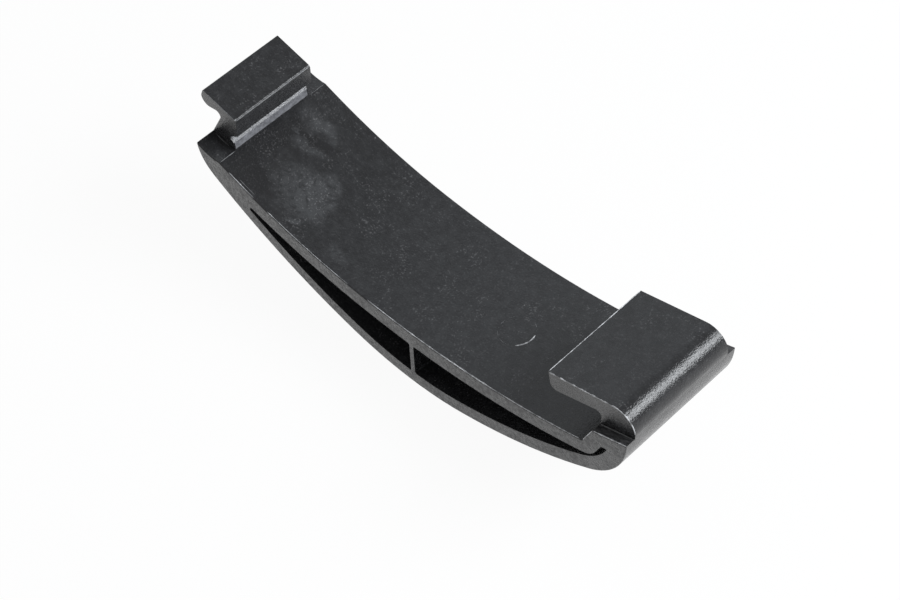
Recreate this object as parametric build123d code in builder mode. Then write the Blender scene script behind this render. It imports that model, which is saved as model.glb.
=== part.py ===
"""Chain tensioner shoe: a bowed plastic slipper with two hooks that slide onto a steel bracket.

Millimetres. X runs along the shoe, Y across its width, Z up. The origin is the lowest point of the
belly, in the middle of the width, where the shoe touches the flat surface that it lies on.
"""
from build123d import *
from math import asin, cos, degrees, hypot, radians, sin, sqrt, tan
import os

# Whole shoe
shoe_width = 33.0
rest_lean = 9.1

# Belly: the convex face that the chain rubs on, a chain of tangent arcs from its lowest point
belly_radius = 68.0
belly_left_angle = 8.9
belly_right_angle = 19.9
left_flank_radius = 134.6
left_flank_angle = 20.6
right_flank_radius = 136.7
right_flank_angle = 17.6
nose_radius = 22.3
tip_radius = 9.8
tip_angle = 55.5

# Seat: the concave face that lies against the bracket, two arcs that meet at its lowest point
seat_low_x = -14.5
seat_height = 17.6
seat_left_radius = 126.5
seat_right_radius = 178.5
pocket_length = 7.6
pocket_depth = 0.6
crest_radius = 0.8

# Step and ledge at the nose end: the ledge ends over the nose, a little higher than its arc
step_angle = 70.0
ledge_angle = 25.2
ledge_rise = 1.35
step_foot_radius = 0.6

# Walls round the hollow, its blunt end at the tip and the slit that curls up behind the step
sole_thickness = 3.9
leaf_thickness = 4.3
leaf_step_thickness = 3.7
step_wall = 3.5
ledge_wall = 3.8
hollow_flank_angle = 15.7
hollow_end_height = 1.3
slit_gap = 1.27
hollow_end_radius = 0.4
hollow_bend_radius = 6.0

# Web that ties the leaf to the sole
web_x = 8.3
web_thickness = 1.2
web_lean = 2.5
web_root_radius = 0.5

# Hook at the nose end, open to the left
nose_hook_width = 27.8
nose_slot_rise = 4.2
nose_slot_angle = 24.7
nose_hook_reach = 14.85
nose_hook_tip = 5.35
nose_tip_angle = 100.8
nose_hook_angle = 20.3
nose_slot_radius = 1.2
nose_tip_radius = 1.5
nose_top_radius = 4.6

# Hook at the tip end, open to the left, with a cove behind its neck
tip_hook_width = 22.7
neck_angle = 65.6
neck_rise = 10.1
tip_slot_angle = 15.8
tip_hook_reach = 8.5
tip_hook_end = 5.7
tip_end_angle = 71.0
tip_hook_angle = -9.9
tip_hook_length = 10.9
heel_height = 5.3
heel_angle = 92.2
cove_angle = 38.0
cove_depth = 4.2
shoulder_angle = 42.0
shoulder_length = 2.1
shoulder_setback = 0.1
tip_slot_radius = 1.2
tip_lip_radius = 2.0
tip_top_radius = 0.4
heel_top_radius = 0.8
heel_radius = 0.5
cove_radius = 0.6
shoulder_radius = 0.4

# How deep both hooks are rooted in the shoe, and the rounding on the edges of both sides
hook_root_depth = 1.9
edge_radius = 0.3

# The most of a short side that the rounding of its corner may take up
rounded_share = 0.9


def along(point, angle, length):
    """Return the point that lies a length away from another at an angle."""
    return (point[0] + length * cos(radians(angle)), point[1] + length * sin(radians(angle)))


def on_arc(low_point, radius, x):
    """Return the point at x on an arc that is level at its low point."""
    rise = radius - sqrt(radius**2 - (x - low_point[0]) ** 2)
    return (x, low_point[1] + rise)


def arc_slope(low_point, radius, x):
    """Return the slope in degrees, at x, of an arc that is level at its low point."""
    return degrees(asin((x - low_point[0]) / radius))


def meet(point_a, angle_a, point_b, angle_b):
    """Return the point where two lines meet, each given by a point and an angle."""
    a, b = radians(angle_a), radians(angle_b)
    reach = ((point_b[0] - point_a[0]) * sin(b) - (point_b[1] - point_a[1]) * cos(b)) / sin(b - a)
    return along(point_a, angle_a, reach)


def meet_circle(point, angle, centre, radius, side):
    """Return the point where a line leaves (side 1) or enters (side -1) a circle."""
    a = radians(angle)
    ahead = (centre[0] - point[0]) * cos(a) + (centre[1] - point[1]) * sin(a)
    aside = (centre[0] - point[0]) * sin(a) - (centre[1] - point[1]) * cos(a)
    return along(point, angle, ahead + side * sqrt(radius**2 - aside**2))


def held_radius(radius, turn, room):
    """Return a rounding's radius, or a smaller one where its side is too short for it.

    The sides turn by an angle at the rounded corner, and the shorter of them has that much room.
    """
    return min(radius, rounded_share * room / tan(radians(turn / 2)))


def inner_corner(corner, angle_a, wall_a, angle_b, wall_b):
    """Return the corner inside two walls whose outer faces meet in a corner.

    Each wall lies to the right of its face, when the face is followed at its angle.
    """
    a, b = radians(angle_a), radians(angle_b)
    turn = sin(b - a)
    x = corner[0] + (wall_b * cos(a) - wall_a * cos(b)) / turn
    z = corner[1] + (wall_b * sin(a) - wall_a * sin(b)) / turn
    return (x, z)


# Lowest points of the belly and of the seat, and the arc that brings the nose upright
belly_low = (0.0, 0.0)
seat_low = (seat_low_x, seat_height)
nose_angle = 90.0 - belly_right_angle - right_flank_angle

# The profile's plane leans about the belly's centre of curvature, as the shoe does when it lies
# still, so the belly touches the ground at the origin
lean = radians(rest_lean)
profile = Plane(
    origin=(-belly_radius * sin(lean), 0, belly_radius * (1 - cos(lean))),
    x_dir=(cos(lean), 0, -sin(lean)),
    z_dir=(0, -1, 0),
)


def outline(wall, nose_turn, flank_turn):
    """Draw the belly's arcs, a wall's thickness inside its face, as far as two turns reach.

    The nose's arc turns by the first angle, and the flank's arc towards the tip by the second.
    """
    start = (belly_low[0], belly_low[1] + wall)
    belly_right = JernArc(start, (1, 0), belly_radius - wall, belly_right_angle)
    right_flank = JernArc(belly_right @ 1, belly_right % 1, right_flank_radius - wall, right_flank_angle)
    nose = JernArc(right_flank @ 1, right_flank % 1, nose_radius - wall, nose_turn)
    belly_left = JernArc(start, (-1, 0), belly_radius - wall, -belly_left_angle)
    left_flank = JernArc(belly_left @ 1, belly_left % 1, left_flank_radius - wall, -flank_turn)
    return nose, left_flank


with BuildPart() as tensioner_shoe:
    # Body: the belly, the seat, the step and the ledge, solid before it is hollowed
    with BuildSketch(profile) as body_profile:
        with BuildLine():
            nose, left_flank = outline(0, nose_angle, left_flank_angle)
            tip = JernArc(left_flank @ 1, left_flank % 1, tip_radius, -tip_angle)
            tip_end = ((tip @ 1).X, (tip @ 1).Y)
            crest = on_arc(seat_low, seat_left_radius, tip_end[0] + pocket_length)
            nose_end = ((nose @ 1).X, (nose @ 1).Y)
            nose_centre = (nose_end[0] - nose_radius, nose_end[1])
            # The step's wall, the slit and the sole lie one behind the other inside the nose
            step_depth = nose_radius - sole_thickness - slit_gap - step_wall
            step_middle = along(nose_centre, step_angle - 90, step_depth)
            seat_centre = (seat_low[0], seat_low[1] + seat_right_radius)
            step_foot = meet_circle(step_middle, step_angle, seat_centre, seat_right_radius, -1)
            ledge_end = (nose_end[0], nose_end[1] + ledge_rise)
            step_top = meet(step_middle, step_angle, ledge_end, ledge_angle)
            Polyline(nose @ 1, ledge_end, step_top, step_foot)
            TangentArc(seat_low, step_foot, tangent=(1, 0))
            TangentArc(seat_low, crest, tangent=(-1, 0))
            SagittaArc(crest, tip_end, pocket_depth)
        make_face()
        fillet(vertices().sort_by_distance(step_foot)[0], step_foot_radius)
        fillet(vertices().sort_by_distance(crest)[0], crest_radius)
    extrude(amount=shoe_width / 2, both=True)
    fillet(faces().filter_by(Axis.Y).edges(), edge_radius)

    # Hollow between the leaf and the sole, with the slit that curls up behind the step
    with BuildSketch(profile) as hollow_profile:
        step_slope = arc_slope(seat_low, seat_right_radius, step_foot[0])
        roof_end = inner_corner(step_foot, step_slope, leaf_step_thickness, step_angle, step_wall)
        slit_end = inner_corner(step_top, step_angle, step_wall, ledge_angle, ledge_wall)
        inside_radius = nose_radius - sole_thickness
        slit_top = meet_circle(slit_end, ledge_angle, nose_centre, inside_radius, 1)
        # The sole's inner face turns this far in the nose before it meets the slit's end
        slit_level = (slit_top[1] - nose_centre[1]) / inside_radius
        slit_turn = nose_angle + degrees(asin(slit_level))
        # The roof is an arc from its low point, which bends up into the step's wall
        roof_low = (seat_low_x, seat_height - leaf_thickness)
        roof_run, roof_rise = roof_end[0] - roof_low[0], roof_end[1] - roof_low[1]
        roof_radius = (roof_run**2 + roof_rise**2) / (2 * roof_rise)
        roof_centre = (roof_low[0], roof_low[1] + roof_radius)
        bend = step_angle - arc_slope(roof_low, roof_radius, roof_end[0])
        slit_length = hypot(slit_end[0] - roof_end[0], slit_end[1] - roof_end[1])
        bend_radius = held_radius(hollow_bend_radius, bend, slit_length)
        bend_side = along(roof_end, step_angle + 90, bend_radius)
        bend_centre = meet_circle(bend_side, step_angle, roof_centre, roof_radius - bend_radius, -1)
        bend_end = along(bend_centre, step_angle - 90, bend_radius)
        outward = roof_radius / (roof_radius - bend_radius)
        bend_start = (
            roof_centre[0] + outward * (bend_centre[0] - roof_centre[0]),
            roof_centre[1] + outward * (bend_centre[1] - roof_centre[1]),
        )
        with BuildLine():
            nose_inside, flank_inside = outline(sole_thickness, slit_turn, hollow_flank_angle)
            flank_end = ((flank_inside @ 1).X, (flank_inside @ 1).Y)
            roof_start = along(flank_end, 90 - belly_left_angle - hollow_flank_angle, hollow_end_height)
            Line(flank_end, roof_start)
            TangentArc(roof_low, roof_start, tangent=(-1, 0))
            roof = TangentArc(roof_low, bend_start, tangent=(1, 0))
            TangentArc(bend_start, bend_end, tangent=roof % 1)
            Polyline(bend_end, slit_end, nose_inside @ 1)
        make_face()
        fillet(vertices().sort_by_distance(flank_end)[0], hollow_end_radius)
        fillet(vertices().sort_by_distance(roof_start)[0], hollow_end_radius)
        # The web stays, rooted in the leaf and in the sole
        with Locations((web_x, seat_height / 2)):
            Rectangle(web_thickness, 2 * seat_height, rotation=web_lean, mode=Mode.SUBTRACT)
        web_roots = vertices().sort_by(lambda corner: abs(corner.X - web_x))[:4]
        fillet(web_roots, web_root_radius)
    extrude(amount=shoe_width / 2, both=True, mode=Mode.SUBTRACT)

    # Hook at the nose end, flush with the nose, with a slot under it that ends over the step
    with BuildSketch(profile) as nose_hook_profile:
        slot_corner = along(step_top, 90, nose_slot_rise)
        lip = along(slot_corner, 180 + nose_slot_angle, nose_hook_reach)
        lip_top = along(lip, nose_tip_angle, nose_hook_tip)
        top_corner = meet(lip_top, nose_hook_angle, ledge_end, 90)
        top_radius = held_radius(nose_top_radius, nose_hook_angle + 90, top_corner[1] - ledge_end[1])
        ledge_middle = ((step_top[0] + ledge_end[0]) / 2, (step_top[1] + ledge_end[1]) / 2)
        root = along(ledge_middle, -90, hook_root_depth)
        with BuildLine():
            FilletPolyline(
                step_top,
                slot_corner,
                lip,
                lip_top,
                top_corner,
                ledge_end,
                root,
                radius=[0, nose_slot_radius, nose_tip_radius, 0, top_radius, 0, 0],
                close=True,
            )
        make_face()
    extrude(amount=nose_hook_width / 2, both=True)

    # Hook at the tip end: a neck with a head that overhangs the slot in front of it, and behind it
    # a cove over a shoulder that stands on the crest
    with BuildSketch(profile) as tip_hook_profile:
        slot_corner = meet(tip_end, neck_angle, along(crest, 90, neck_rise), 0)
        lip = along(slot_corner, 180 + tip_slot_angle, tip_hook_reach)
        lip_top = along(lip, tip_end_angle, tip_hook_end)
        heel_top = along(lip_top, tip_hook_angle, tip_hook_length)
        heel = along(heel_top, heel_angle + 180, heel_height)
        cove = along(heel, 180 + cove_angle, cove_depth)
        shoulder = along(cove, -shoulder_angle, shoulder_length)
        shoulder_foot = along(along(crest, 180, shoulder_setback), -90, hook_root_depth / 2)
        pocket_middle = ((crest[0] + tip_end[0]) / 2, (crest[1] + tip_end[1]) / 2)
        root = along(pocket_middle, -90, hook_root_depth)
        with BuildLine():
            FilletPolyline(
                tip_end,
                slot_corner,
                lip,
                lip_top,
                heel_top,
                heel,
                cove,
                shoulder,
                shoulder_foot,
                root,
                radius=[
                    0,
                    tip_slot_radius,
                    tip_lip_radius,
                    tip_top_radius,
                    heel_top_radius,
                    heel_radius,
                    cove_radius,
                    shoulder_radius,
                    0,
                    0,
                ],
                close=True,
            )
        make_face()
    extrude(amount=tip_hook_width / 2, both=True)

tensioner_shoe.part.label = "tensioner_shoe"
os.makedirs("parts", exist_ok=True)
export_step(tensioner_shoe.part, "parts/tensioner_shoe.step")
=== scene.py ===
"""Chain tensioner shoe: the moulded plastic, pale ribs that paint the highlights on its edges, its ejector
marks, and a white studio.
"""

import bpy
import numpy as np
from mathutils import Matrix, Vector


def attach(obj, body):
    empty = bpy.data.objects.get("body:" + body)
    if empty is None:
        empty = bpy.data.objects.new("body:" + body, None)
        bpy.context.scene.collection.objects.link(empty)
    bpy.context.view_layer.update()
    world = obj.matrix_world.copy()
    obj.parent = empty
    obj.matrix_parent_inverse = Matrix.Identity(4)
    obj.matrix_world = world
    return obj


bl_info = {
    "name": "Chain Tensioner Shoe",
    "version": (1, 0, 0),
    "blender": (4, 5, 0),
    "location": "View3D > Sidebar > Tensioner Shoe",
    "description": "Finishes a moulded chain tensioner shoe and sets it in a white studio",
    "category": "Object",
}

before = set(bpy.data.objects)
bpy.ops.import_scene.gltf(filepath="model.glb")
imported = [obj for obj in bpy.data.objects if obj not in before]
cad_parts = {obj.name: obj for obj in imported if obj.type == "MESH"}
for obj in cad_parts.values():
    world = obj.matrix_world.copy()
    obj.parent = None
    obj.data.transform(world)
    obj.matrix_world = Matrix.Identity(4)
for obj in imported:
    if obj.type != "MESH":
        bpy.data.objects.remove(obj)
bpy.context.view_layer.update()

MM = 0.001
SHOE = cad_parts["tensioner_shoe"]

# The shoe's profile, in millimetres, before it leans into the place where it lies still
LEAN = np.radians(9.1)
BELLY_RADIUS = 68.0
HALF_WIDTH = 16.5
SEAT_LOW_X = -14.5
SEAT_HEIGHT = 17.6
SEAT_LEFT_RADIUS = 126.5
SEAT_RIGHT_RADIUS = 178.5
CREST = (-53.31, 23.7)

# The pocket between the crest and the tip's end, and how deep it dips below the line between them
TIP_END = (-60.91, 24.32)
POCKET_DIP = 0.6

# Step and ledge at the nose end
STEP_FOOT = (57.45, 32.75)
STEP_TOP = (59.75, 39.04)
LEDGE_END = (68.56, 43.19)

# The nose hook: its top edge at the lip, the slope of its top and the rounding over the nose
NOSE_LIP_TOP = (45.25, 42.29)
NOSE_TOP_ANGLE = np.radians(20.3)
NOSE_TOP_LENGTH = 18.24
NOSE_ROUNDING = 4.6
NOSE_ROUNDING_CENTRE = (63.96, 44.31)
NOSE_HALF_WIDTH = 13.9

# The tip hook: its top edges over the lip and over the heel, and where the line behind the lip starts
TIP_LIP_TOP = (-62.94, 36.88)
TIP_HEEL_TOP = (-52.2, 35.0)
TIP_LINE_START = (TIP_LIP_TOP[0] + 0.9, TIP_LIP_TOP[1] - 0.22)
TIP_HALF_WIDTH = 11.35

# Pale marks on the seat, seen from above in the part's frame: centre and reach in millimetres, turn in
# degrees, softness of the border, and strength, which is below 0 where the skin is darker
FLOW_MARKS = (
    ((-43.2, -6.8), (10.0, 8.6), -10.0, 0.6, 0.5),
    ((-40.2, -4.8), (5.2, 7.4), 12.0, 0.25, 0.42),
    ((-50.9, 1.8), (6.2, 2.0), 18.0, 0.7, 0.42),
    ((-52.8, 8.0), (8.2, 3.2), 4.0, 0.8, 0.5),
    ((-55.1, 3.0), (1.5, 1.1), 0.0, 0.5, 0.7),
    ((-50.6, 4.5), (6.4, 0.9), 17.0, 0.6, -1.0),
    ((-54.0, -13.5), (6.0, 5.0), 20.0, 0.8, -0.6),
    ((-57.0, -4.0), (3.5, 13.0), 0.0, 0.8, -0.4),
    ((-39.8, -13.8), (2.6, 0.5), 10.0, 0.6, 1.2),
    ((-27.0, -12.3), (5.0, 1.6), -14.0, 0.7, 0.35),
)

# The ledge's two ends beside the nose hook, seen from above, where pale streaks partly paint light into the
# hook's shade: how far out their middle lies, and their reach
LEDGE_MARK_X = 59.1
LEDGE_MARK_Y = 15.3
LEDGE_MARK_REACH = (6.6, 1.9)

# The painted highlight on the crest's wall, under the tip hook: a pale strip, with its middle and reach
# along each axis
HIGHLIGHT_STRIP = (("X", -60.4, 0.9), ("Y", 0.0, 11.1), ("Z", 34.7, 1.8))

# Heights in the part's frame over which the seat's marks end, and over which the painted highlight on the
# wall turns into its shoulder
SEAT_MARKS_END = (34.0, 35.5)
HIGHLIGHT_SHOULDER = (34.5, 35.0)

# Distances from the middle between a hook's side and the shoe's, and places along it where the nose starts
SHOE_SIDE = (14.5, 15.5)
NOSE_START = (50.0, 56.0)

# How widely the borders of the flow marks and of the rubbed strip are shifted to and fro
FLOW_SHIFT = 5.5
STRIP_SHIFT = 0.6

# Scales of the plastic's patterns, per metre: the higher, the finer
SHIFT_SCALE = 260.0
STREAK_SCALE = 260.0
MOTTLE_SCALE = 480.0
SPECK_SCALE = 1900.0
CLUSTER_SCALE = 120.0
DUST_SCALE = 190.0
LEDGE_SCALE = 1500.0
HIGHLIGHT_PATCH_SCALE = 700.0
GLOSS_SCALE = 160.0
SIDE_SCALE = 1200.0
GRAIN_SCALE = 2800.0
WAVE_SCALE = 300.0
NOSE_GRAIN_SCALE = 2600.0
EDGE_SCALE = 650.0

# How far inside the shoe's side the middle of a painted highlight line runs, and so where it lies on the
# near side
HIGHLIGHT_LINE_INSET = 0.17
NEAR = -HALF_WIDTH + HIGHLIGHT_LINE_INSET

# Painted highlight lines along the seat's near edge: start and end, how much further in each runs, its
# radius as a share of the one that is set, and its seed
SEAT_HIGHLIGHT_LINES = (
    (-50.5, -42.0, 0.0, 0.9, 3),
    (-38.0, -12.0, 0.0, 0.6, 5),
    (-6.0, 56.9, 0.0, 0.95, 6),
    (17.0, 33.0, 0.02, 1.15, 17),
)

# The fainter line that doubles the seat's edge near the tip end: ends, how much further in, and how deep
DOUBLED_ENDS = (-47.8, -42.6)
DOUBLED_INSET = 0.7
DOUBLED_DEPTH = 0.02

# How deep the lines on the nose hook lie in its lip and in the rest of its top
LIP_LINE_DEPTH = 0.01
TOP_LINE_DEPTH = 0.12

# How far a line on the crest or on the ledge stays clear of the hook's side
TIP_LINE_GAP = 0.1
NOSE_LINE_GAP = 0.2

# The line along the tip hook's foot: its ends, as shares of the way from the tip's end to the crest, and
# how high it lies over the pocket
FOOT_ENDS = (0.1, 0.72)
FOOT_LIFT = 0.05

# How a rib's radius changes along it: the length of its longest wave, and of the taper at each end
RIB_PITCH = 3.0
RIB_TAPER = 0.8

# A direction that no rib runs along
ASIDE = np.array([0.31, 0.17, 0.94])

# The ejector pin's mark in the seat: its centre, the angles of its raised crescent and of its ring, and
# the radius of the ring's line and its depth
PIN_CENTRE = (25.1, -1.2)
CRESCENT_ANGLES = (-55, 23)
RING_ANGLES = (26, 302)
RING_LINE_RADIUS = 0.08
RING_DEPTH = 0.035

# Floor: how far it reaches each way, in metres, and the share of plain white in what the camera sees of it
FLOOR_REACH = 1.5
FLOOR_WHITE = 0.94

# Camera: its focal length, its place in millimetres, and the directions to its right and behind it
FOCAL_LENGTH = 87.6
SENSOR_WIDTH = 36.0
CAMERA_PLACE = (250.062, -196.06, 378.225)
CAMERA_RIGHT = (0.7015, 0.7038, -0.1124)
CAMERA_BACK = (0.5229, -0.4011, 0.7521)


def to_frame(x, y, z):
    """Lean points of the profile about the belly's centre of curvature, and turn them to metres."""
    up = z - BELLY_RADIUS
    across = x * np.cos(LEAN) + up * np.sin(LEAN)
    height = BELLY_RADIUS - x * np.sin(LEAN) + up * np.cos(LEAN)
    return np.stack([across, np.broadcast_to(y, across.shape), height], axis=-1) * MM


def seat(x, y, lift=0.0):
    """The seat's surface: a circle's arc on each side of its low point, the same all across.

    The lift, in millimetres, is measured square to the arc.
    """
    x = np.asarray(x, dtype=float)
    radius = np.where(x < SEAT_LOW_X, SEAT_LEFT_RADIUS, SEAT_RIGHT_RADIUS)
    slope = np.arcsin((x - SEAT_LOW_X) / radius)
    z = SEAT_HEIGHT + radius * (1 - np.cos(slope))
    return to_frame(x - lift * np.sin(slope), y, z + lift * np.cos(slope))


def seat_line(start, end, inset, count, lift=0.0):
    """A path along the seat beside its near edge, between two places along the profile."""
    return seat(np.linspace(start, end, count), NEAR + inset, lift)


def straight(start, end, count=60):
    """A straight path from one point of the profile to another, each given as x, z and y."""
    x, z, y = np.linspace(start, end, count).T
    return to_frame(x, y, z)


def nose_lip_line(count=140):
    """A straight path across the nose hook's lip, just under its top edge."""
    y = np.linspace(-NOSE_HALF_WIDTH, NOSE_HALF_WIDTH, count)
    return to_frame(np.full(count, NOSE_LIP_TOP[0]), y, np.full(count, NOSE_LIP_TOP[1] - LIP_LINE_DEPTH))


def nose_top_line(count=90, arc_count=40):
    """A path along the near edge of the nose hook's top, sunk square to the surface.

    It is a straight line up the slope, then an arc of a circle over the rounding, down to its front.
    """
    s = np.linspace(0.0, NOSE_TOP_LENGTH, count)
    turn = np.linspace(np.pi / 2 + NOSE_TOP_ANGLE, 0.0, arc_count)[1:]
    x = np.concatenate([
        NOSE_LIP_TOP[0] + s * np.cos(NOSE_TOP_ANGLE) + TOP_LINE_DEPTH * np.sin(NOSE_TOP_ANGLE),
        NOSE_ROUNDING_CENTRE[0] + (NOSE_ROUNDING - TOP_LINE_DEPTH) * np.cos(turn),
    ])
    z = np.concatenate([
        NOSE_LIP_TOP[1] + s * np.sin(NOSE_TOP_ANGLE) - TOP_LINE_DEPTH * np.cos(NOSE_TOP_ANGLE),
        NOSE_ROUNDING_CENTRE[1] + (NOSE_ROUNDING - TOP_LINE_DEPTH) * np.sin(turn),
    ])
    return to_frame(x, -NOSE_HALF_WIDTH, z)


def pocket_foot_line(count=40):
    """A path in the pocket along the tip hook's near foot.

    It follows the line from the tip's end to the crest, less a parabola as deep as the pocket midway,
    and lies a little above it.
    """
    share = np.linspace(*FOOT_ENDS, count)
    x = TIP_END[0] + share * (CREST[0] - TIP_END[0])
    z = TIP_END[1] + share * (CREST[1] - TIP_END[1]) - 4 * POCKET_DIP * share * (1 - share) + FOOT_LIFT
    return to_frame(x, -(TIP_HALF_WIDTH + TIP_LINE_GAP), z)


def pin_line(radius, angles, count, lift=0.0):
    """A path on the seat round the ejector pin's centre: an arc between two angles in degrees."""
    turn = np.radians(np.linspace(*angles, count))
    return seat(PIN_CENTRE[0] + radius * np.cos(turn), PIN_CENTRE[1] + radius * np.sin(turn), lift)


def waver(s, seed, pitch):
    """Smooth uneven numbers from 0 to 1 along a length: four sine waves of unlike pitch, added."""
    phase = np.random.default_rng(seed).uniform(0, 2 * np.pi, 4)
    pitches = pitch * np.array([1.0, 0.61, 0.37, 0.23])
    waves = np.sin(2 * np.pi * s[:, None] / pitches + phase)
    return 0.5 + 0.5 * (waves @ np.array([0.4, 0.3, 0.2, 0.1]))


def rib(path, radius, seed, floor=0.45):
    """A rib: its path, and its radius in metres along it, uneven and drawn in at both ends.

    The radius given is the greatest, in millimetres, and the floor is its least share away from the ends.
    """
    steps = np.linalg.norm(np.diff(path, axis=0), axis=1) / MM
    s = np.concatenate([[0.0], np.cumsum(steps)])
    ends = np.clip(np.minimum(s, s[-1] - s) / RIB_TAPER, 0.02, 1.0)
    return path, radius * MM * ends * (floor + (1 - floor) * waver(s, seed, RIB_PITCH))


def rib_mesh(ribs, around=8):
    """A mesh of thin round ribs: a circle of a changing radius carried along each path.

    Each ring of the circle stands square to the path, and a point closes each end.
    """
    points, quads, fans = [], [], []
    base = 0
    turn = np.linspace(0, 2 * np.pi, around, endpoint=False)
    ring = np.arange(around)
    following = (ring + 1) % around
    for path, radius in ribs:
        along = np.gradient(path, axis=0)
        along /= np.linalg.norm(along, axis=1, keepdims=True)
        side = np.cross(along, ASIDE)
        side /= np.linalg.norm(side, axis=1, keepdims=True)
        over = np.cross(side, along)
        rings = path[:, None, :] + radius[:, None, None] * (
            np.cos(turn)[None, :, None] * side[:, None, :]
            + np.sin(turn)[None, :, None] * over[:, None, :]
        )
        count = len(path)
        points += [rings.reshape(-1, 3), path[:1], path[-1:]]
        rows = base + np.arange(count - 1)[:, None] * around
        quads.append(
            np.stack(
                [rows + ring, rows + around + ring, rows + around + following, rows + following],
                axis=-1,
            ).reshape(-1, 4)
        )
        first = base + count * around
        last_ring = base + (count - 1) * around
        fans.append(np.stack([np.full(around, first), base + ring, base + following], axis=-1))
        fans.append(
            np.stack([np.full(around, first + 1), last_ring + following, last_ring + ring], axis=-1)
        )
        base = first + 2
    return np.concatenate(points), np.concatenate(quads).tolist() + np.concatenate(fans).tolist()


def add_ribs(name, ribs, material):
    """Make one object of ribs, smooth-shaded, that takes the given material and rides on the shoe."""
    points, faces = rib_mesh(ribs)
    mesh = bpy.data.meshes.new(name)
    mesh.from_pydata(points.tolist(), [], faces)
    mesh.polygons.foreach_set("use_smooth", np.ones(len(faces), dtype=bool))
    mesh.update()
    piece = bpy.data.objects.new(name, mesh)
    bpy.context.scene.collection.objects.link(piece)
    mesh.materials.append(material)
    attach(piece, "root")


def node(tree, kind, **values):
    """Add a shader node and set its plain values and its named inputs."""
    made = tree.nodes.new(kind)
    inputs = values.pop("inputs", {})
    for key, value in values.items():
        setattr(made, key, value)
    for key, value in inputs.items():
        made.inputs[key].default_value = value
    return made


def calculate(tree, operation, first, second=None, clamp=False):
    """Add a Math node whose inputs are sockets or plain numbers, and return its result."""
    made = node(tree, "ShaderNodeMath", operation=operation, use_clamp=clamp)
    for socket, value in zip(made.inputs, (first, second)):
        if isinstance(value, bpy.types.NodeSocket):
            tree.links.new(value, socket)
        elif value is not None:
            socket.default_value = value
    return made.outputs[0]


def split(tree, vector):
    """Split a vector into its coordinates, and return their sockets, which are called X, Y and Z."""
    made = node(tree, "ShaderNodeSeparateXYZ")
    tree.links.new(vector, made.inputs["Vector"])
    return made.outputs


def noise(tree, vector, scale, detail=3.0, roughness=0.6, distortion=0.0):
    """Add a noise that reads a position, and return its value."""
    inputs = {"Scale": scale, "Detail": detail, "Roughness": roughness, "Distortion": distortion}
    made = node(tree, "ShaderNodeTexNoise", inputs=inputs)
    tree.links.new(vector, made.inputs["Vector"])
    return made.outputs["Fac"]


def drawn_out(tree, vector, shares):
    """Draw a pattern out along an axis: each coordinate shrunk to its share, so that the marks grow."""
    made = node(tree, "ShaderNodeMapping", vector_type="POINT", inputs={"Scale": shares})
    tree.links.new(vector, made.inputs["Vector"])
    return made.outputs["Vector"]


def ramp(tree, value, low, high, at_low=0.0, at_high=1.0):
    """Carry a value smoothly from one level to another as it goes from low to high."""
    inputs = {"From Min": low, "From Max": high, "To Min": at_low, "To Max": at_high}
    made = node(tree, "ShaderNodeMapRange", interpolation_type="SMOOTHSTEP", inputs=inputs)
    tree.links.new(value, made.inputs["Value"])
    return made.outputs["Result"]


def zone(tree, coordinate, places, before, after):
    """Go over smoothly from one level to another between two places, given in millimetres."""
    start, end = places
    return ramp(tree, coordinate, start * MM, end * MM, before, after)


def patch(tree, vector, centre, reach, turn, soft):
    """A mask that is 1 inside an ellipse seen from above and 0 outside it.

    Centre and reach are in millimetres, turn in degrees, and soft is the share of the reach over
    which the border fades.
    """
    inputs = {
        "Location": (centre[0] * MM, centre[1] * MM, 0.0),
        "Rotation": (0.0, 0.0, np.radians(turn)),
        "Scale": (reach[0] * MM, reach[1] * MM, 1.0),
    }
    fitted = node(tree, "ShaderNodeMapping", vector_type="TEXTURE", inputs=inputs)
    tree.links.new(vector, fitted.inputs["Vector"])
    away = node(tree, "ShaderNodeVectorMath", operation="LENGTH")
    tree.links.new(fitted.outputs["Vector"], away.inputs[0])
    return ramp(tree, away.outputs["Value"], 1.0 - soft, 1.0, 1.0, 0.0)


def blend(tree, factor, first, second):
    """Mix two colours, each a socket or a plain colour, and return the result."""
    made = node(tree, "ShaderNodeMix", data_type="RGBA")
    tree.links.new(factor, made.inputs["Factor"])
    for name, value in (("A", first), ("B", second)):
        if isinstance(value, bpy.types.NodeSocket):
            tree.links.new(value, made.inputs[name])
        else:
            made.inputs[name].default_value = (*value, 1.0)
    return made.outputs["Result"]


def uneven_direction(tree, point):
    """A vector that varies from place to place: a coarse noise's three channels, each less a half."""
    inputs = {"Scale": SHIFT_SCALE, "Detail": 4.0, "Roughness": 0.6}
    coarse = node(tree, "ShaderNodeTexNoise", inputs=inputs)
    tree.links.new(point, coarse.inputs["Vector"])
    centred = node(tree, "ShaderNodeVectorMath", operation="SUBTRACT", inputs={1: (0.5, 0.5, 0.5)})
    tree.links.new(coarse.outputs["Color"], centred.inputs[0])
    return centred.outputs[0]


def shifted(tree, point, direction, reach):
    """The position, shifted along a direction that is scaled by a reach in millimetres."""
    scaled = node(tree, "ShaderNodeVectorMath", operation="SCALE", inputs={"Scale": reach * MM})
    tree.links.new(direction, scaled.inputs[0])
    moved = node(tree, "ShaderNodeVectorMath", operation="ADD")
    tree.links.new(point, moved.inputs[0])
    tree.links.new(scaled.outputs[0], moved.inputs[1])
    return moved.outputs[0]


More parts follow.
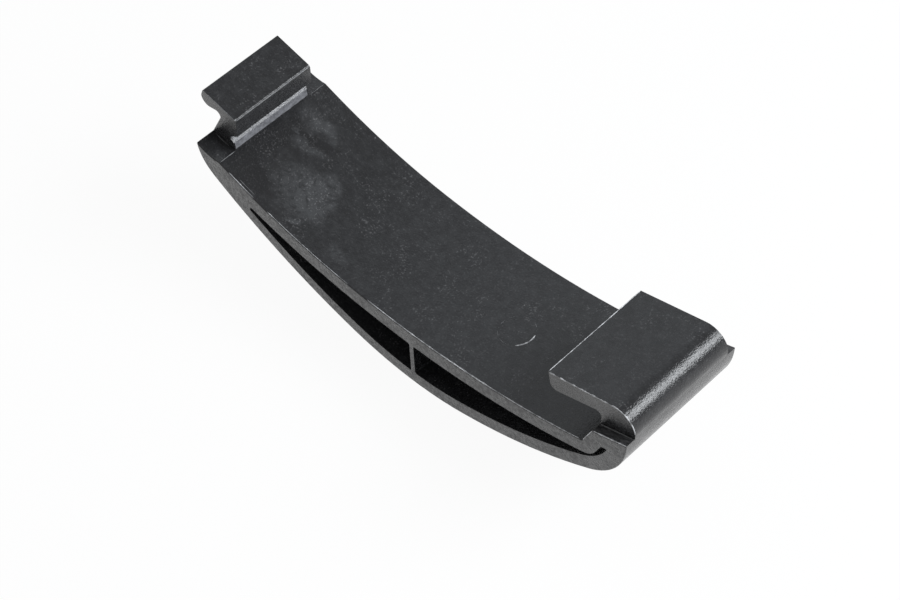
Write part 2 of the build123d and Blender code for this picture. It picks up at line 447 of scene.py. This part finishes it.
def flow_marks(tree, point, direction, on_seat):
    """Strength of the flow marks: streaked pale patches on the seat, with a dark line between them."""
    ragged = shifted(tree, point, direction, FLOW_SHIFT)
    pale = 0.0
    for centre, reach, turn, soft, strength in FLOW_MARKS:
        mask = patch(tree, ragged, centre, reach, turn, soft)
        pale = calculate(tree, "ADD", calculate(tree, "MULTIPLY", mask, strength), pale)
    streaks = noise(tree, point, STREAK_SCALE, detail=6.0, roughness=0.72, distortion=2.4)
    streaks = ramp(tree, streaks, low=0.34, high=0.62, at_low=0.25, at_high=1.6)
    return calculate(tree, "MULTIPLY", calculate(tree, "MULTIPLY", pale, streaks), on_seat)


def fine_specks(tree, point, pale, sideways, upward):
    """Strength of the fine specks: more in flow marks, on the sides and in clusters on upper faces."""
    fine = ramp(tree, noise(tree, point, SPECK_SCALE, detail=2.0), low=0.56, high=0.68)
    in_marks = ramp(tree, pale, low=0.0, high=0.8, at_low=0.12, at_high=0.45)
    on_sides = ramp(tree, sideways, low=0.6, high=0.95, at_low=0.0, at_high=0.12)
    clusters = noise(tree, point, CLUSTER_SCALE, detail=3.0, roughness=0.65)
    clusters = ramp(tree, clusters, low=0.5, high=0.62, at_low=0.0, at_high=0.3)
    share = calculate(tree, "ADD", in_marks, on_sides)
    share = calculate(tree, "ADD", calculate(tree, "MULTIPLY", clusters, upward), share)
    return calculate(tree, "MULTIPLY", fine, share)


def dust(tree, point):
    """Strength of the pale dust: a small round grain in the middle of a coarse pattern's chosen cells."""
    cells = node(tree, "ShaderNodeTexVoronoi", inputs={"Scale": DUST_SCALE, "Randomness": 1.0})
    tree.links.new(point, cells.inputs["Vector"])
    grains = ramp(tree, cells.outputs["Distance"], low=0.02, high=0.035, at_low=1.0, at_high=0.0)
    chosen = calculate(tree, "GREATER_THAN", split(tree, cells.outputs["Color"])["X"], 0.55)
    return calculate(tree, "MULTIPLY", grains, chosen)


def ledge_streaks_and_light(tree, point, on_seat):
    """Strength of the pale streaks along the ledge, on each end beside the nose hook: real streaks, and
    painted light that lifts the ledge out of the hook's shade.
    """
    lengthways = drawn_out(tree, point, (0.12, 1.0, 1.0))
    streaks = noise(tree, lengthways, LEDGE_SCALE, detail=3.0, roughness=0.7)
    streaks = ramp(tree, streaks, low=0.4, high=0.62, at_low=0.05, at_high=0.42)
    ends = 0.0
    for out in (-LEDGE_MARK_Y, LEDGE_MARK_Y):
        end = patch(tree, point, (LEDGE_MARK_X, out), LEDGE_MARK_REACH, turn=0.0, soft=0.25)
        ends = calculate(tree, "ADD", end, ends)
    return calculate(tree, "MULTIPLY", calculate(tree, "MULTIPLY", streaks, on_seat), ends)


def painted_wall_highlight(tree, point, direction):
    """Strength of the painted highlight on the crest's wall: an uneven box, patchy, and fainter on its
    shoulder.
    """
    apart = split(tree, shifted(tree, point, direction, STRIP_SHIFT))
    strip = 1.0
    for axis, middle, reach in HIGHLIGHT_STRIP:
        inside = node(tree, "ShaderNodeMath", operation="COMPARE", inputs={1: middle * MM, 2: reach * MM})
        tree.links.new(apart[axis], inside.inputs[0])
        strip = calculate(tree, "MULTIPLY", inside.outputs[0], strip)
    patchiness = noise(tree, point, HIGHLIGHT_PATCH_SCALE, detail=5.0, roughness=0.75)
    patchiness = ramp(tree, patchiness, low=0.36, high=0.64, at_low=0.5, at_high=1.0)
    fading = zone(tree, apart["Z"], HIGHLIGHT_SHOULDER, before=1.0, after=0.5)
    return calculate(tree, "MULTIPLY", strip, calculate(tree, "MULTIPLY", patchiness, fading))


def skin_roughness(tree, point, apart, sideways, look):
    """The skin's roughness: uneven all over, higher in spots on the sides, and lower at the nose."""
    lowest = look.roughness - 0.03
    highest = look.roughness + 0.07
    gloss = ramp(tree, noise(tree, point, GLOSS_SCALE, detail=4.0), 0.3, 0.7, lowest, highest)
    spots = noise(tree, point, SIDE_SCALE, detail=3.0, roughness=0.7)
    spots = ramp(tree, spots, low=0.35, high=0.65, at_low=0.0, at_high=2.0)
    on_sides = ramp(tree, sideways, low=0.6, high=0.95, at_low=0.0, at_high=look.side_roughness)
    outward = calculate(tree, "ABSOLUTE", apart["Y"])
    off_hooks = zone(tree, outward, SHOE_SIDE, before=0.35, after=1.0)
    at_nose = zone(tree, apart["X"], NOSE_START, before=0.0, after=-0.035)
    rougher = calculate(tree, "MULTIPLY", calculate(tree, "MULTIPLY", on_sides, spots), off_hooks)
    return calculate(tree, "ADD", gloss, calculate(tree, "ADD", rougher, at_nose))


def skin_height(tree, point, apart):
    """The skin's height: a fine grain over a slight waviness, and one drawn out across the nose."""
    fine = noise(tree, point, GRAIN_SCALE, detail=2.0, roughness=0.6)
    wavy = noise(tree, point, WAVE_SCALE, detail=3.0, roughness=0.5)
    across = drawn_out(tree, point, (1.0, 0.5, 1.0))
    brushed = noise(tree, across, NOSE_GRAIN_SCALE, detail=2.0, roughness=0.6)
    at_nose = zone(tree, apart["X"], NOSE_START, before=0.0, after=0.45)
    brushed = calculate(tree, "MULTIPLY", brushed, at_nose)
    return calculate(tree, "ADD", calculate(tree, "ADD", fine, wavy), brushed)


class SHOE_PG_plastic(bpy.types.PropertyGroup):
    """The moulded plastic."""

    colour: bpy.props.FloatVectorProperty(
        name="Colour",
        description="Colour of the plastic where it is clean",
        subtype="COLOR",
        size=3,
        default=(0.0148, 0.0150, 0.0163),
        min=0.0,
        max=1.0,
    )
    haze: bpy.props.FloatVectorProperty(
        name="Flow marks",
        description="Colour of the pale flow marks near the tip end and of the faint mottling",
        subtype="COLOR",
        size=3,
        default=(0.053, 0.055, 0.058),
        min=0.0,
        max=1.0,
    )
    # Also the colour of the ledge's streaks, which partly paint light into the shade beside the nose hook
    specks_and_ledge_light: bpy.props.FloatVectorProperty(
        name="Specks",
        description="Colour of the fine pale specks, the dust and the streaks on the ledge",
        subtype="COLOR",
        size=3,
        default=(0.16, 0.16, 0.165),
        min=0.0,
        max=1.0,
    )
    # Pale colour of the painted highlight on the crest's wall under the smaller hook
    wall_highlight: bpy.props.FloatVectorProperty(
        name="Highlit wall",
        description="Colour of the rubbed, highlit wall under the smaller hook",
        subtype="COLOR",
        size=3,
        default=(0.24, 0.245, 0.265),
        min=0.0,
        max=1.0,
    )
    roughness: bpy.props.FloatProperty(
        name="Roughness",
        description="Roughness of the moulded skin",
        default=0.2,
        min=0.0,
        max=1.0,
        subtype="FACTOR",
    )
    side_roughness: bpy.props.FloatProperty(
        name="Rougher sides",
        description="How much rougher the two sides are than the rest",
        default=0.12,
        min=0.0,
        max=0.5,
        subtype="FACTOR",
    )
    grain: bpy.props.FloatProperty(
        name="Grain",
        description="Height of the fine grain",
        default=0.00008,
        min=0.0,
        max=0.001,
        subtype="DISTANCE",
        unit="LENGTH",
    )


class SHOE_PG_edge_highlights(bpy.types.PropertyGroup):
    """Pale thin lines that paint the highlights on edges, and the ejector pin's mark."""

    # The pale ribs paint the highlights on edges: their line colours below are painted highlights
    radius: bpy.props.FloatProperty(
        name="Line radius",
        description="Radius in millimetres that each flash line takes its own share of",
        default=0.16,
        min=0.02,
        max=0.5,
    )
    colour: bpy.props.FloatVectorProperty(
        name="Line colour",
        description="Colour of the thin, highlit edges",
        subtype="COLOR",
        size=3,
        default=(0.68, 0.69, 0.71),
        min=0.0,
        max=1.0,
    )
    dull_highlight_colour: bpy.props.FloatVectorProperty(
        name="Dull line colour",
        description="Colour of the blunter edges, which are highlit less",
        subtype="COLOR",
        size=3,
        default=(0.17, 0.173, 0.18),
        min=0.0,
        max=1.0,
    )
    pin_radius: bpy.props.FloatProperty(
        name="Ejector mark radius",
        description="Radius of the ejector pin's mark in the seat, in millimetres",
        default=4.2,
        min=1.0,
        max=10.0,
    )


class SHOE_PG_stage(bpy.types.PropertyGroup):
    """Floor and light."""

    floor_colour: bpy.props.FloatVectorProperty(
        name="Floor colour",
        description="Colour of the floor",
        subtype="COLOR",
        size=3,
        default=(0.95, 0.95, 0.95),
        min=0.0,
        max=1.0,
    )
    sky: bpy.props.FloatProperty(
        name="Sky",
        description="Brightness of the even light all round",
        default=0.32,
        min=0.0,
        max=5.0,
    )
    box_radiance: bpy.props.FloatProperty(
        name="Soft box",
        description="Brightness of the soft box beyond the nose, where 1 is white",
        default=12.0,
        min=0.0,
        max=50.0,
    )
    panel_radiance: bpy.props.FloatProperty(
        name="Far panel",
        description="Brightness of the wide panel beyond the far side, where 1 is white",
        default=0.42,
        min=0.0,
        max=50.0,
    )


class SHOE_OT_plastic(bpy.types.Operator):
    """Give the shoe its black moulded plastic, with grain, specks, flow marks and a painted highlight on a
    wall
    """

    bl_idname = "tensioner_shoe.plastic"
    bl_label = "Finish the plastic"

    def execute(self, context):
        look = context.scene.shoe_plastic
        material = bpy.data.materials.new("black_moulded_plastic")
        material.use_nodes = True
        tree = material.node_tree
        tree.nodes.clear()
        link = tree.links.new
        output = node(tree, "ShaderNodeOutputMaterial")
        skin = node(tree, "ShaderNodeBsdfPrincipled", inputs={"IOR": 1.5})
        link(skin.outputs["BSDF"], output.inputs["Surface"])

        # Where a point lies and which way it faces
        place = node(tree, "ShaderNodeTexCoord")
        point = place.outputs["Object"]
        apart = split(tree, point)
        facing = split(tree, place.outputs["Normal"])
        upward = ramp(tree, facing["Z"], low=0.4, high=0.7)
        sideways = calculate(tree, "ABSOLUTE", facing["Y"])
        below_hooks = zone(tree, apart["Z"], SEAT_MARKS_END, before=1.0, after=0.0)
        on_seat = calculate(tree, "MULTIPLY", upward, below_hooks)
        direction = uneven_direction(tree, point)

        # Colour: a mottled black under the pale marks, each laid over the ones before it
        pale = flow_marks(tree, point, direction, on_seat)
        mottle = noise(tree, point, MOTTLE_SCALE, detail=6.0, roughness=0.75)
        mottle = ramp(tree, mottle, low=0.38, high=0.68, at_low=0.04, at_high=0.34)
        colour = blend(tree, calculate(tree, "ADD", pale, mottle, clamp=True), look.colour, look.haze)
        colour = blend(tree, fine_specks(tree, point, pale, sideways, upward), colour, look.specks_and_ledge_light)
        colour = blend(tree, dust(tree, point), colour, look.specks_and_ledge_light)
        # Pale streaks on the ledge: partly real streaks, partly painted light in the hook's shade
        colour = blend(tree, ledge_streaks_and_light(tree, point, on_seat), colour, look.specks_and_ledge_light)
        # Painted highlight: a pale strip on the crest's wall under the tip hook, fainter on its shoulder
        colour = blend(tree, painted_wall_highlight(tree, point, direction), colour, look.wall_highlight)
        link(colour, skin.inputs["Base Color"])

        # Skin: its roughness and its grain
        link(skin_roughness(tree, point, apart, sideways, look), skin.inputs["Roughness"])
        bump = node(tree, "ShaderNodeBump", inputs={"Strength": 1.0, "Distance": look.grain})
        link(skin_height(tree, point, apart), bump.inputs["Height"])
        link(bump.outputs["Normal"], skin.inputs["Normal"])

        SHOE.material_slots[0].material = material
        return {"FINISHED"}


def edge_highlight_material(name, colour, dim_share):
    """A pale material that paints the highlight on thin edges, with a soft shine, and darker in patches."""
    material = bpy.data.materials.get(name)
    if material:
        return material
    material = bpy.data.materials.new(name)
    material.use_nodes = True
    tree = material.node_tree
    skin = tree.nodes["Principled BSDF"]
    skin.inputs["Roughness"].default_value = 0.35
    place = node(tree, "ShaderNodeTexCoord")
    unevenness = noise(tree, place.outputs["Object"], EDGE_SCALE, detail=4.0, roughness=0.7)
    unevenness = ramp(tree, unevenness, low=0.32, high=0.68)
    dimmer = tuple(dim_share * part for part in colour)
    tree.links.new(blend(tree, unevenness, dimmer, colour), skin.inputs["Base Color"])
    return material


def edge_highlight_materials(look):
    """The pale materials that paint the highlights of the thin, bright edges and of the blunter, duller
    ones.
    """
    bright = edge_highlight_material("painted_edge_highlight", look.colour, dim_share=0.25)
    dull = edge_highlight_material("painted_dull_edge_highlight", look.dull_highlight_colour, dim_share=0.55)
    return bright, dull


class SHOE_OT_edge_highlights(bpy.types.Operator):
    """Add thin pale ribs that paint highlights on the seat's edge, the crest, the ledge and both hooks"""

    bl_idname = "tensioner_shoe.flash"
    bl_label = "Add the flash lines"

    def execute(self, context):
        look = context.scene.shoe_flash
        bright, dull = edge_highlight_materials(look)
        thick = look.radius

        # Painted highlights along the seat's near edge, where the mould's halves meet, doubled by a fainter
        # line near the tip end
        ribs = []
        for start, end, inset, share, seed in SEAT_HIGHLIGHT_LINES:
            path = seat_line(start, end, inset, count=110)
            ribs.append(rib(path, thick * share, seed, floor=0.3))
        add_ribs("seat_edge_highlight", ribs, bright)
        path = seat_line(*DOUBLED_ENDS, DOUBLED_INSET, count=40, lift=-DOUBLED_DEPTH)
        add_ribs("seat_edge_doubled", [rib(path, thick * 0.6, seed=4, floor=0.6)], dull)

        # Painted highlights up the step's near edge and along the ledge's
        up_step = straight((*STEP_FOOT, NEAR), (*STEP_TOP, NEAR))
        along_ledge = straight((*STEP_TOP, NEAR), (*LEDGE_END, NEAR))
        ribs = [rib(up_step, thick * 0.8, seed=7), rib(along_ledge, thick, seed=8)]
        add_ribs("ledge_edge_highlight", ribs, bright)

        # Painted highlights round the nose hook's top: across its lip, then along its near edge and over
        # the rounding
        ribs = [
            rib(nose_lip_line(), thick * 0.75, seed=9, floor=0.5),
            rib(nose_top_line(), thick * 1.1, seed=10, floor=0.35),
        ]
        add_ribs("nose_hook_highlight", ribs, bright)

        # Painted highlights along the tip hook's foot in the pocket, and on the crest on each side of the
        # hook
        add_ribs("pocket_foot_highlight", [rib(pocket_foot_line(), thick * 0.8, seed=16, floor=0.5)], dull)
        beside_tip = TIP_HALF_WIDTH + TIP_LINE_GAP
        near_crest = straight((*CREST, NEAR), (*CREST, -beside_tip))
        far_crest = straight((*CREST, beside_tip), (*CREST, -NEAR))
        ribs = [rib(near_crest, thick * 0.8, seed=11), rib(far_crest, thick * 0.5, seed=12, floor=0.2)]
        add_ribs("crest_highlight", ribs, dull)

        # Painted highlights on the tip hook's blunter top edges, and on the line where the nose hook stands
        # on the ledge
        heel = straight((*TIP_HEEL_TOP, -TIP_HALF_WIDTH), (*TIP_HEEL_TOP, TIP_HALF_WIDTH), count=100)
        top = straight((*TIP_LINE_START, -TIP_HALF_WIDTH), (*TIP_HEEL_TOP, -TIP_HALF_WIDTH), count=70)
        beside_nose = -NOSE_HALF_WIDTH - NOSE_LINE_GAP
        foot = straight((*STEP_TOP, beside_nose), (*LEDGE_END, beside_nose))
        ribs = [
            rib(heel, thick * 1.2, seed=13, floor=0.8),
            rib(top, thick * 0.6, seed=14),
            rib(foot, thick * 1.2, seed=15),
        ]
        add_ribs("hook_edge_highlight", ribs, dull)
        return {"FINISHED"}


class SHOE_OT_marks(bpy.types.Operator):
    """Add the ejector pin's round mark and its raised crescent in the seat, pale with a painted highlight
    """

    bl_idname = "tensioner_shoe.marks"
    bl_label = "Add the ejector mark"

    def execute(self, context):
        look = context.scene.shoe_flash
        bright, dull = edge_highlight_materials(look)
        # A real mark, painted pale in the edge highlights' colours: a painted highlight on the crescent and
        # the ring
        crescent = pin_line(look.pin_radius, CRESCENT_ANGLES, count=48)
        add_ribs("ejector_crescent", [rib(crescent, look.radius * 1.2, seed=7, floor=0.6)], bright)
        ring = pin_line(look.pin_radius, RING_ANGLES, count=120, lift=-RING_DEPTH)
        add_ribs("ejector_ring", [rib(ring, RING_LINE_RADIUS, seed=8, floor=0.2)], dull)
        return {"FINISHED"}


def floor_material(colour):
    """The floor's material: pale where it is lit, but mostly plain white to the eye and in reflections."""
    material = bpy.data.materials.new("white_floor")
    material.use_nodes = True
    tree = material.node_tree
    tree.nodes.clear()
    output = node(tree, "ShaderNodeOutputMaterial")
    lit = node(tree, "ShaderNodeBsdfDiffuse", inputs={"Color": (*colour, 1.0)})
    white = node(tree, "ShaderNodeEmission", inputs={"Color": (1.0, 1.0, 1.0, 1.0), "Strength": 1.0})
    rays = node(tree, "ShaderNodeLightPath")
    seen = calculate(tree, "MAXIMUM", rays.outputs["Is Camera Ray"], rays.outputs["Is Glossy Ray"])
    mixed = node(tree, "ShaderNodeMixShader")
    tree.links.new(calculate(tree, "MULTIPLY", seen, FLOOR_WHITE), mixed.inputs["Fac"])
    tree.links.new(lit.outputs[0], mixed.inputs[1])
    tree.links.new(white.outputs[0], mixed.inputs[2])
    tree.links.new(mixed.outputs[0], output.inputs["Surface"])
    return material


def add_floor(scene, colour):
    """Add a square floor round the origin, which takes the shoe's soft shadow, as part of the stage."""
    corners = [
        (-FLOOR_REACH, -FLOOR_REACH, 0),
        (FLOOR_REACH, -FLOOR_REACH, 0),
        (FLOOR_REACH, FLOOR_REACH, 0),
        (-FLOOR_REACH, FLOOR_REACH, 0),
    ]
    mesh = bpy.data.meshes.new("floor")
    mesh.from_pydata(corners, [], [(0, 1, 2, 3)])
    mesh.materials.append(floor_material(colour))
    floor = bpy.data.objects.new("floor", mesh)
    scene.collection.objects.link(floor)


def add_sky(scene, brightness):
    """Add an even sky that lights with a given brightness and that the camera sees as white."""
    world = bpy.data.worlds.new("studio")
    scene.world = world
    world.use_nodes = True
    tree = world.node_tree
    tree.nodes.clear()
    output = node(tree, "ShaderNodeOutputWorld")
    sky = node(tree, "ShaderNodeBackground", inputs={"Color": (1.0, 1.0, 1.0, 1.0)})
    rays = node(tree, "ShaderNodeLightPath")
    level = node(tree, "ShaderNodeMapRange", inputs={"To Min": brightness, "To Max": 1.0})
    tree.links.new(rays.outputs["Is Camera Ray"], level.inputs["Value"])
    tree.links.new(level.outputs["Result"], sky.inputs["Strength"])
    tree.links.new(sky.outputs[0], output.inputs["Surface"])


def add_lamp(scene, name, toward, distance, size, radiance, colour):
    """Add a rectangular lamp that faces the shoe, so far off in a direction.

    Its power is its radiance times pi times its area, so that a radiance of 1 looks white.
    """
    toward = Vector(toward).normalized()
    lamp = bpy.data.lights.new(name, "AREA")
    lamp.shape = "RECTANGLE"
    lamp.size, lamp.size_y = size
    lamp.energy = radiance * np.pi * size[0] * size[1]
    lamp.color = colour
    holder = bpy.data.objects.new(name, lamp)
    scene.collection.objects.link(holder)
    holder.location = toward * distance
    holder.rotation_euler = toward.to_track_quat("Z", "Y").to_euler()


def add_camera(scene):
    """Add the camera over the near side, turned and rolled as in the photograph."""
    lens = bpy.data.cameras.new("camera")
    lens.lens = FOCAL_LENGTH
    lens.sensor_width = SENSOR_WIDTH
    lens.clip_start = 0.01
    camera = bpy.data.objects.new("camera", lens)
    scene.collection.objects.link(camera)
    right = Vector(CAMERA_RIGHT).normalized()
    back = Vector(CAMERA_BACK).normalized()
    up = back.cross(right).normalized()
    right = up.cross(back)
    turned = Matrix((right, up, back)).transposed().to_4x4()
    camera.matrix_world = Matrix.Translation(Vector(CAMERA_PLACE) * MM) @ turned
    scene.camera = camera


class SHOE_OT_stage(bpy.types.Operator):
    """Add the white floor, the soft light and the camera"""

    bl_idname = "tensioner_shoe.stage"
    bl_label = "Build the stage"

    def execute(self, context):
        scene = context.scene
        look = scene.shoe_stage
        add_floor(scene, look.floor_colour)
        add_sky(scene, look.sky)

        # A soft box beyond the nose shines in the rounding of the nose hook
        add_lamp(
            scene,
            "soft_box",
            toward=(0.67, 0.40, 0.62),
            distance=0.9,
            size=(0.60, 0.38),
            radiance=look.box_radiance,
            colour=(0.94, 0.97, 1.0),
        )

        # A wide dim panel beyond the far side lightens the seat
        add_lamp(
            scene,
            "far_panel",
            toward=(-0.60, 0.45, 0.66),
            distance=1.2,
            size=(1.3, 0.9),
            radiance=look.panel_radiance,
            colour=(0.86, 0.93, 1.0),
        )

        add_camera(scene)
        scene.view_settings.view_transform = "Standard"
        return {"FINISHED"}


class SHOE_PT_panel(bpy.types.Panel):
    """Lists the shoe's steps and sizes in the sidebar."""

    bl_label = "Tensioner Shoe"
    bl_idname = "SHOE_PT_panel"
    bl_space_type = "VIEW_3D"
    bl_region_type = "UI"
    bl_category = "Tensioner Shoe"

    def draw(self, context):
        layout = self.layout
        for group in GROUPS:
            settings = getattr(context.scene, group)
            column = layout.column()
            for name in settings.__annotations__:
                column.prop(settings, name)
        for operator in OPERATORS:
            layout.operator(operator.bl_idname)


OPERATORS = (SHOE_OT_plastic, SHOE_OT_edge_highlights, SHOE_OT_marks, SHOE_OT_stage)
GROUPS = {"shoe_plastic": SHOE_PG_plastic, "shoe_flash": SHOE_PG_edge_highlights, "shoe_stage": SHOE_PG_stage}


def register():
    """Register the classes and hang the settings on the scene."""
    for group in GROUPS.values():
        bpy.utils.register_class(group)
    for operator in OPERATORS:
        bpy.utils.register_class(operator)
    bpy.utils.register_class(SHOE_PT_panel)
    for name, group in GROUPS.items():
        setattr(bpy.types.Scene, name, bpy.props.PointerProperty(type=group))


def unregister():
    """Take the settings and the classes away again."""
    for name in GROUPS:
        delattr(bpy.types.Scene, name)
    bpy.utils.unregister_class(SHOE_PT_panel)
    for operator in reversed(OPERATORS):
        bpy.utils.unregister_class(operator)
    for group in GROUPS.values():
        bpy.utils.unregister_class(group)


def main():
    """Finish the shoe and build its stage."""
    register()
    bpy.ops.tensioner_shoe.plastic()
    bpy.ops.tensioner_shoe.flash()
    bpy.ops.tensioner_shoe.marks()
    bpy.ops.tensioner_shoe.stage()


if __name__ == "__main__":
    main()
